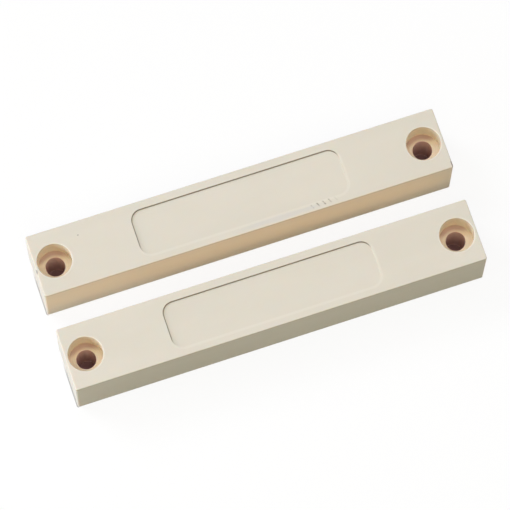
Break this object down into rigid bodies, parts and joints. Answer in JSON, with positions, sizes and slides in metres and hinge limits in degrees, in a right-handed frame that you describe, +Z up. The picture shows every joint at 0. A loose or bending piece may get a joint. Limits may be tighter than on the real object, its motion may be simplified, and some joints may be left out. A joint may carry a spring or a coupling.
{
  "type": "surface magnetic contact",
  "caption": "Pair of slim square bars, a reed switch half and a magnet half, each with a shallow panel and a counterbored screw hole at either end.",
  "frame": {"origin": "on the mounting surface, midway between the two halves", "axes": "+X along the bars, +Y from the magnet half to the switch half, +Z up off the surface"},
  "size_m": [0.0886, 0.0342, 0.0135],
  "materials": {
    "cream_housing": "fine matt moulded texture, warm cream",
    "cream_base": "matt moulded plastic, warm cream",
    "board_laminate": "green lacquered glass-fibre board",
    "copper": "tinned copper",
    "solder": "bright solder",
    "reed_glass": "clear greenish tube",
    "nickel_iron": "tinned nickel-iron",
    "block_plastic": "black moulded plastic",
    "clamp_brass": "plain brass",
    "screw_steel": "zinc plated",
    "magnet_alloy": "ground magnet alloy"
  },
  "bodies": {
    "root": {"bar_magnet": "magnet_alloy", "board_tracks": "copper", "circuit_board": "board_laminate", "magnet_base": "cream_base", "magnet_housing": "cream_housing", "reed_blade_left": "nickel_iron", "reed_blade_right": "nickel_iron", "reed_glass": "reed_glass", "solder_joints": "solder", "switch_base": "cream_base", "switch_housing": "cream_housing", "terminal_block": "block_plastic", "terminal_clamp_1": "clamp_brass", "terminal_clamp_2": "clamp_brass", "terminal_clamp_3": "clamp_brass", "terminal_clamp_4": "clamp_brass", "terminal_screws": "screw_steel"}
  },
  "joints": []
}
